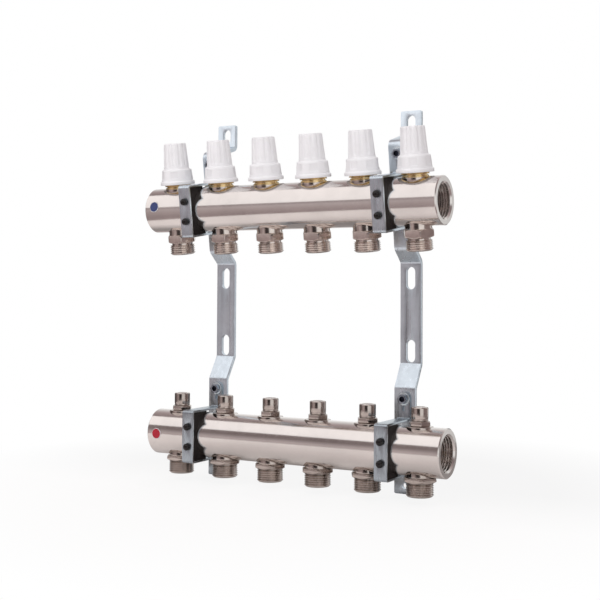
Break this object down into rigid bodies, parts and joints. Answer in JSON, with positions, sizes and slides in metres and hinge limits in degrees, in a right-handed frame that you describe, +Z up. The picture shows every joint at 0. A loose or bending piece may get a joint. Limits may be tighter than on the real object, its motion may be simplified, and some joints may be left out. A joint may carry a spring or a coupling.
{
  "type": "distribution manifold",
  "caption": "Heating distribution manifold: two nickel-plated bars on zigzag wall brackets, hand caps above, lockshield valves below, threaded outlets",
  "frame": {"origin": "on the wall plane, midway between the brackets and between the levels of the two bars", "axes": "+X along the bars to the right, +Y into the wall, +Z up"},
  "size_m": [0.302, 0.0802, 0.3448],
  "materials": {
    "nickel_bar": "nickel-plated brass, fine turned sheen",
    "nickel_fitting": "nickel-plated brass, bright",
    "brass": "turned brass",
    "stem_steel": "stainless steel",
    "white_plastic": "satin white plastic",
    "zinc_steel": "bright zinc plating",
    "bracket_steel": "bright zinc plating",
    "dark_screw_steel": "darker zinc plating",
    "black_rubber": "matt black",
    "blue_plastic": "blue disc",
    "red_plastic": "red disc"
  },
  "bodies": {
    "manifold": {"blue_marker": "blue_plastic", "bracket_left": "bracket_steel", "bracket_right": "bracket_steel", "clamp_nuts": "zinc_steel", "clamp_screws": "dark_screw_steel", "clamp_washers": "zinc_steel", "liner_lower_left": "black_rubber", "liner_lower_right": "black_rubber", "liner_upper_left": "black_rubber", "liner_upper_right": "black_rubber", "lockshield_body_1": "nickel_fitting", "lockshield_body_2": "nickel_fitting", "lockshield_body_3": "nickel_fitting", "lockshield_body_4": "nickel_fitting", "lockshield_body_5": "nickel_fitting", "lockshield_body_6": "nickel_fitting", "lockshield_cap_1": "nickel_fitting", "lockshield_cap_2": "nickel_fitting", "lockshield_cap_3": "nickel_fitting", "lockshield_cap_4": "nickel_fitting", "lockshield_cap_5": "nickel_fitting", "lockshield_cap_6": "nickel_fitting", "lower_bar": "nickel_bar", "lower_outlet_1": "nickel_fitting", "lower_outlet_2": "nickel_fitting", "lower_outlet_3": "nickel_fitting", "lower_outlet_4": "nickel_fitting", "lower_outlet_5": "nickel_fitting", "lower_outlet_6": "nickel_fitting", "red_marker": "red_plastic", "regulating_spindles": "brass", "strap_lower_left": "zinc_steel", "strap_lower_right": "zinc_steel", "strap_upper_left": "zinc_steel", "strap_upper_right": "zinc_steel", "upper_bar": "nickel_bar", "upper_outlet_1": "nickel_fitting", "upper_outlet_2": "nickel_fitting", "upper_outlet_3": "nickel_fitting", "upper_outlet_4": "nickel_fitting", "upper_outlet_5": "nickel_fitting", "upper_outlet_6": "nickel_fitting", "valve_insert_1": "brass", "valve_insert_2": "brass", "valve_insert_3": "brass", "valve_insert_4": "brass", "valve_insert_5": "brass", "valve_insert_6": "brass"},
    "stem_body_1": {"valve_stem_1": "stem_steel"},
    "cap_body_1": {"hand_cap_1": "white_plastic"},
    "stem_body_2": {"valve_stem_2": "stem_steel"},
    "cap_body_2": {"hand_cap_2": "white_plastic"},
    "stem_body_3": {"valve_stem_3": "stem_steel"},
    "cap_body_3": {"hand_cap_3": "white_plastic"},
    "stem_body_4": {"valve_stem_4": "stem_steel"},
    "cap_body_4": {"hand_cap_4": "white_plastic"},
    "stem_body_5": {"valve_stem_5": "stem_steel"},
    "cap_body_5": {"hand_cap_5": "white_plastic"},
    "stem_body_6": {"valve_stem_6": "stem_steel"},
    "cap_body_6": {"hand_cap_6": "white_plastic"}
  },
  "joints": [
    {"name": "stem_slide_1", "type": "slide", "parent": "manifold", "child": "stem_body_1", "axis": [0, 0.1478, -0.989], "range_m": [0, 0.0024]},
    {"name": "cap_turn_1", "type": "hinge", "parent": "stem_body_1", "child": "cap_body_1", "pos_m": [-0.125, -0.048, 0.1078], "axis": [0, 0.1478, -0.989], "range_deg": [0, 576]},
    {"name": "stem_slide_2", "type": "slide", "parent": "manifold", "child": "stem_body_2", "axis": [0, 0.1478, -0.989], "range_m": [0, 0.0024]},
    {"name": "cap_turn_2", "type": "hinge", "parent": "stem_body_2", "child": "cap_body_2", "pos_m": [-0.075, -0.048, 0.1078], "axis": [0, 0.1478, -0.989], "range_deg": [0, 576]},
    {"name": "stem_slide_3", "type": "slide", "parent": "manifold", "child": "stem_body_3", "axis": [0, 0.1478, -0.989], "range_m": [0, 0.0024]},
    {"name": "cap_turn_3", "type": "hinge", "parent": "stem_body_3", "child": "cap_body_3", "pos_m": [-0.025, -0.048, 0.1078], "axis": [0, 0.1478, -0.989], "range_deg": [0, 576]},
    {"name": "stem_slide_4", "type": "slide", "parent": "manifold", "child": "stem_body_4", "axis": [0, 0.1478, -0.989], "range_m": [0, 0.0024]},
    {"name": "cap_turn_4", "type": "hinge", "parent": "stem_body_4", "child": "cap_body_4", "pos_m": [0.025, -0.048, 0.1078], "axis": [0, 0.1478, -0.989], "range_deg": [0, 576]},
    {"name": "stem_slide_5", "type": "slide", "parent": "manifold", "child": "stem_body_5", "axis": [0, 0.1478, -0.989], "range_m": [0, 0.0024]},
    {"name": "cap_turn_5", "type": "hinge", "parent": "stem_body_5", "child": "cap_body_5", "pos_m": [0.075, -0.048, 0.1078], "axis": [0, 0.1478, -0.989], "range_deg": [0, 576]},
    {"name": "stem_slide_6", "type": "slide", "parent": "manifold", "child": "stem_body_6", "axis": [0, 0.1478, -0.989], "range_m": [0, 0.0024]},
    {"name": "cap_turn_6", "type": "hinge", "parent": "stem_body_6", "child": "cap_body_6", "pos_m": [0.125, -0.048, 0.1078], "axis": [0, 0.1478, -0.989], "range_deg": [0, 576]}
  ],
  "couplings": [
    {"joint": "cap_turn_1", "follows": "stem_slide_1", "rad_per_m": 4188.8},
    {"joint": "cap_turn_2", "follows": "stem_slide_2", "rad_per_m": 4188.8},
    {"joint": "cap_turn_3", "follows": "stem_slide_3", "rad_per_m": 4188.8},
    {"joint": "cap_turn_4", "follows": "stem_slide_4", "rad_per_m": 4188.8},
    {"joint": "cap_turn_5", "follows": "stem_slide_5", "rad_per_m": 4188.8},
    {"joint": "cap_turn_6", "follows": "stem_slide_6", "rad_per_m": 4188.8}
  ]
}
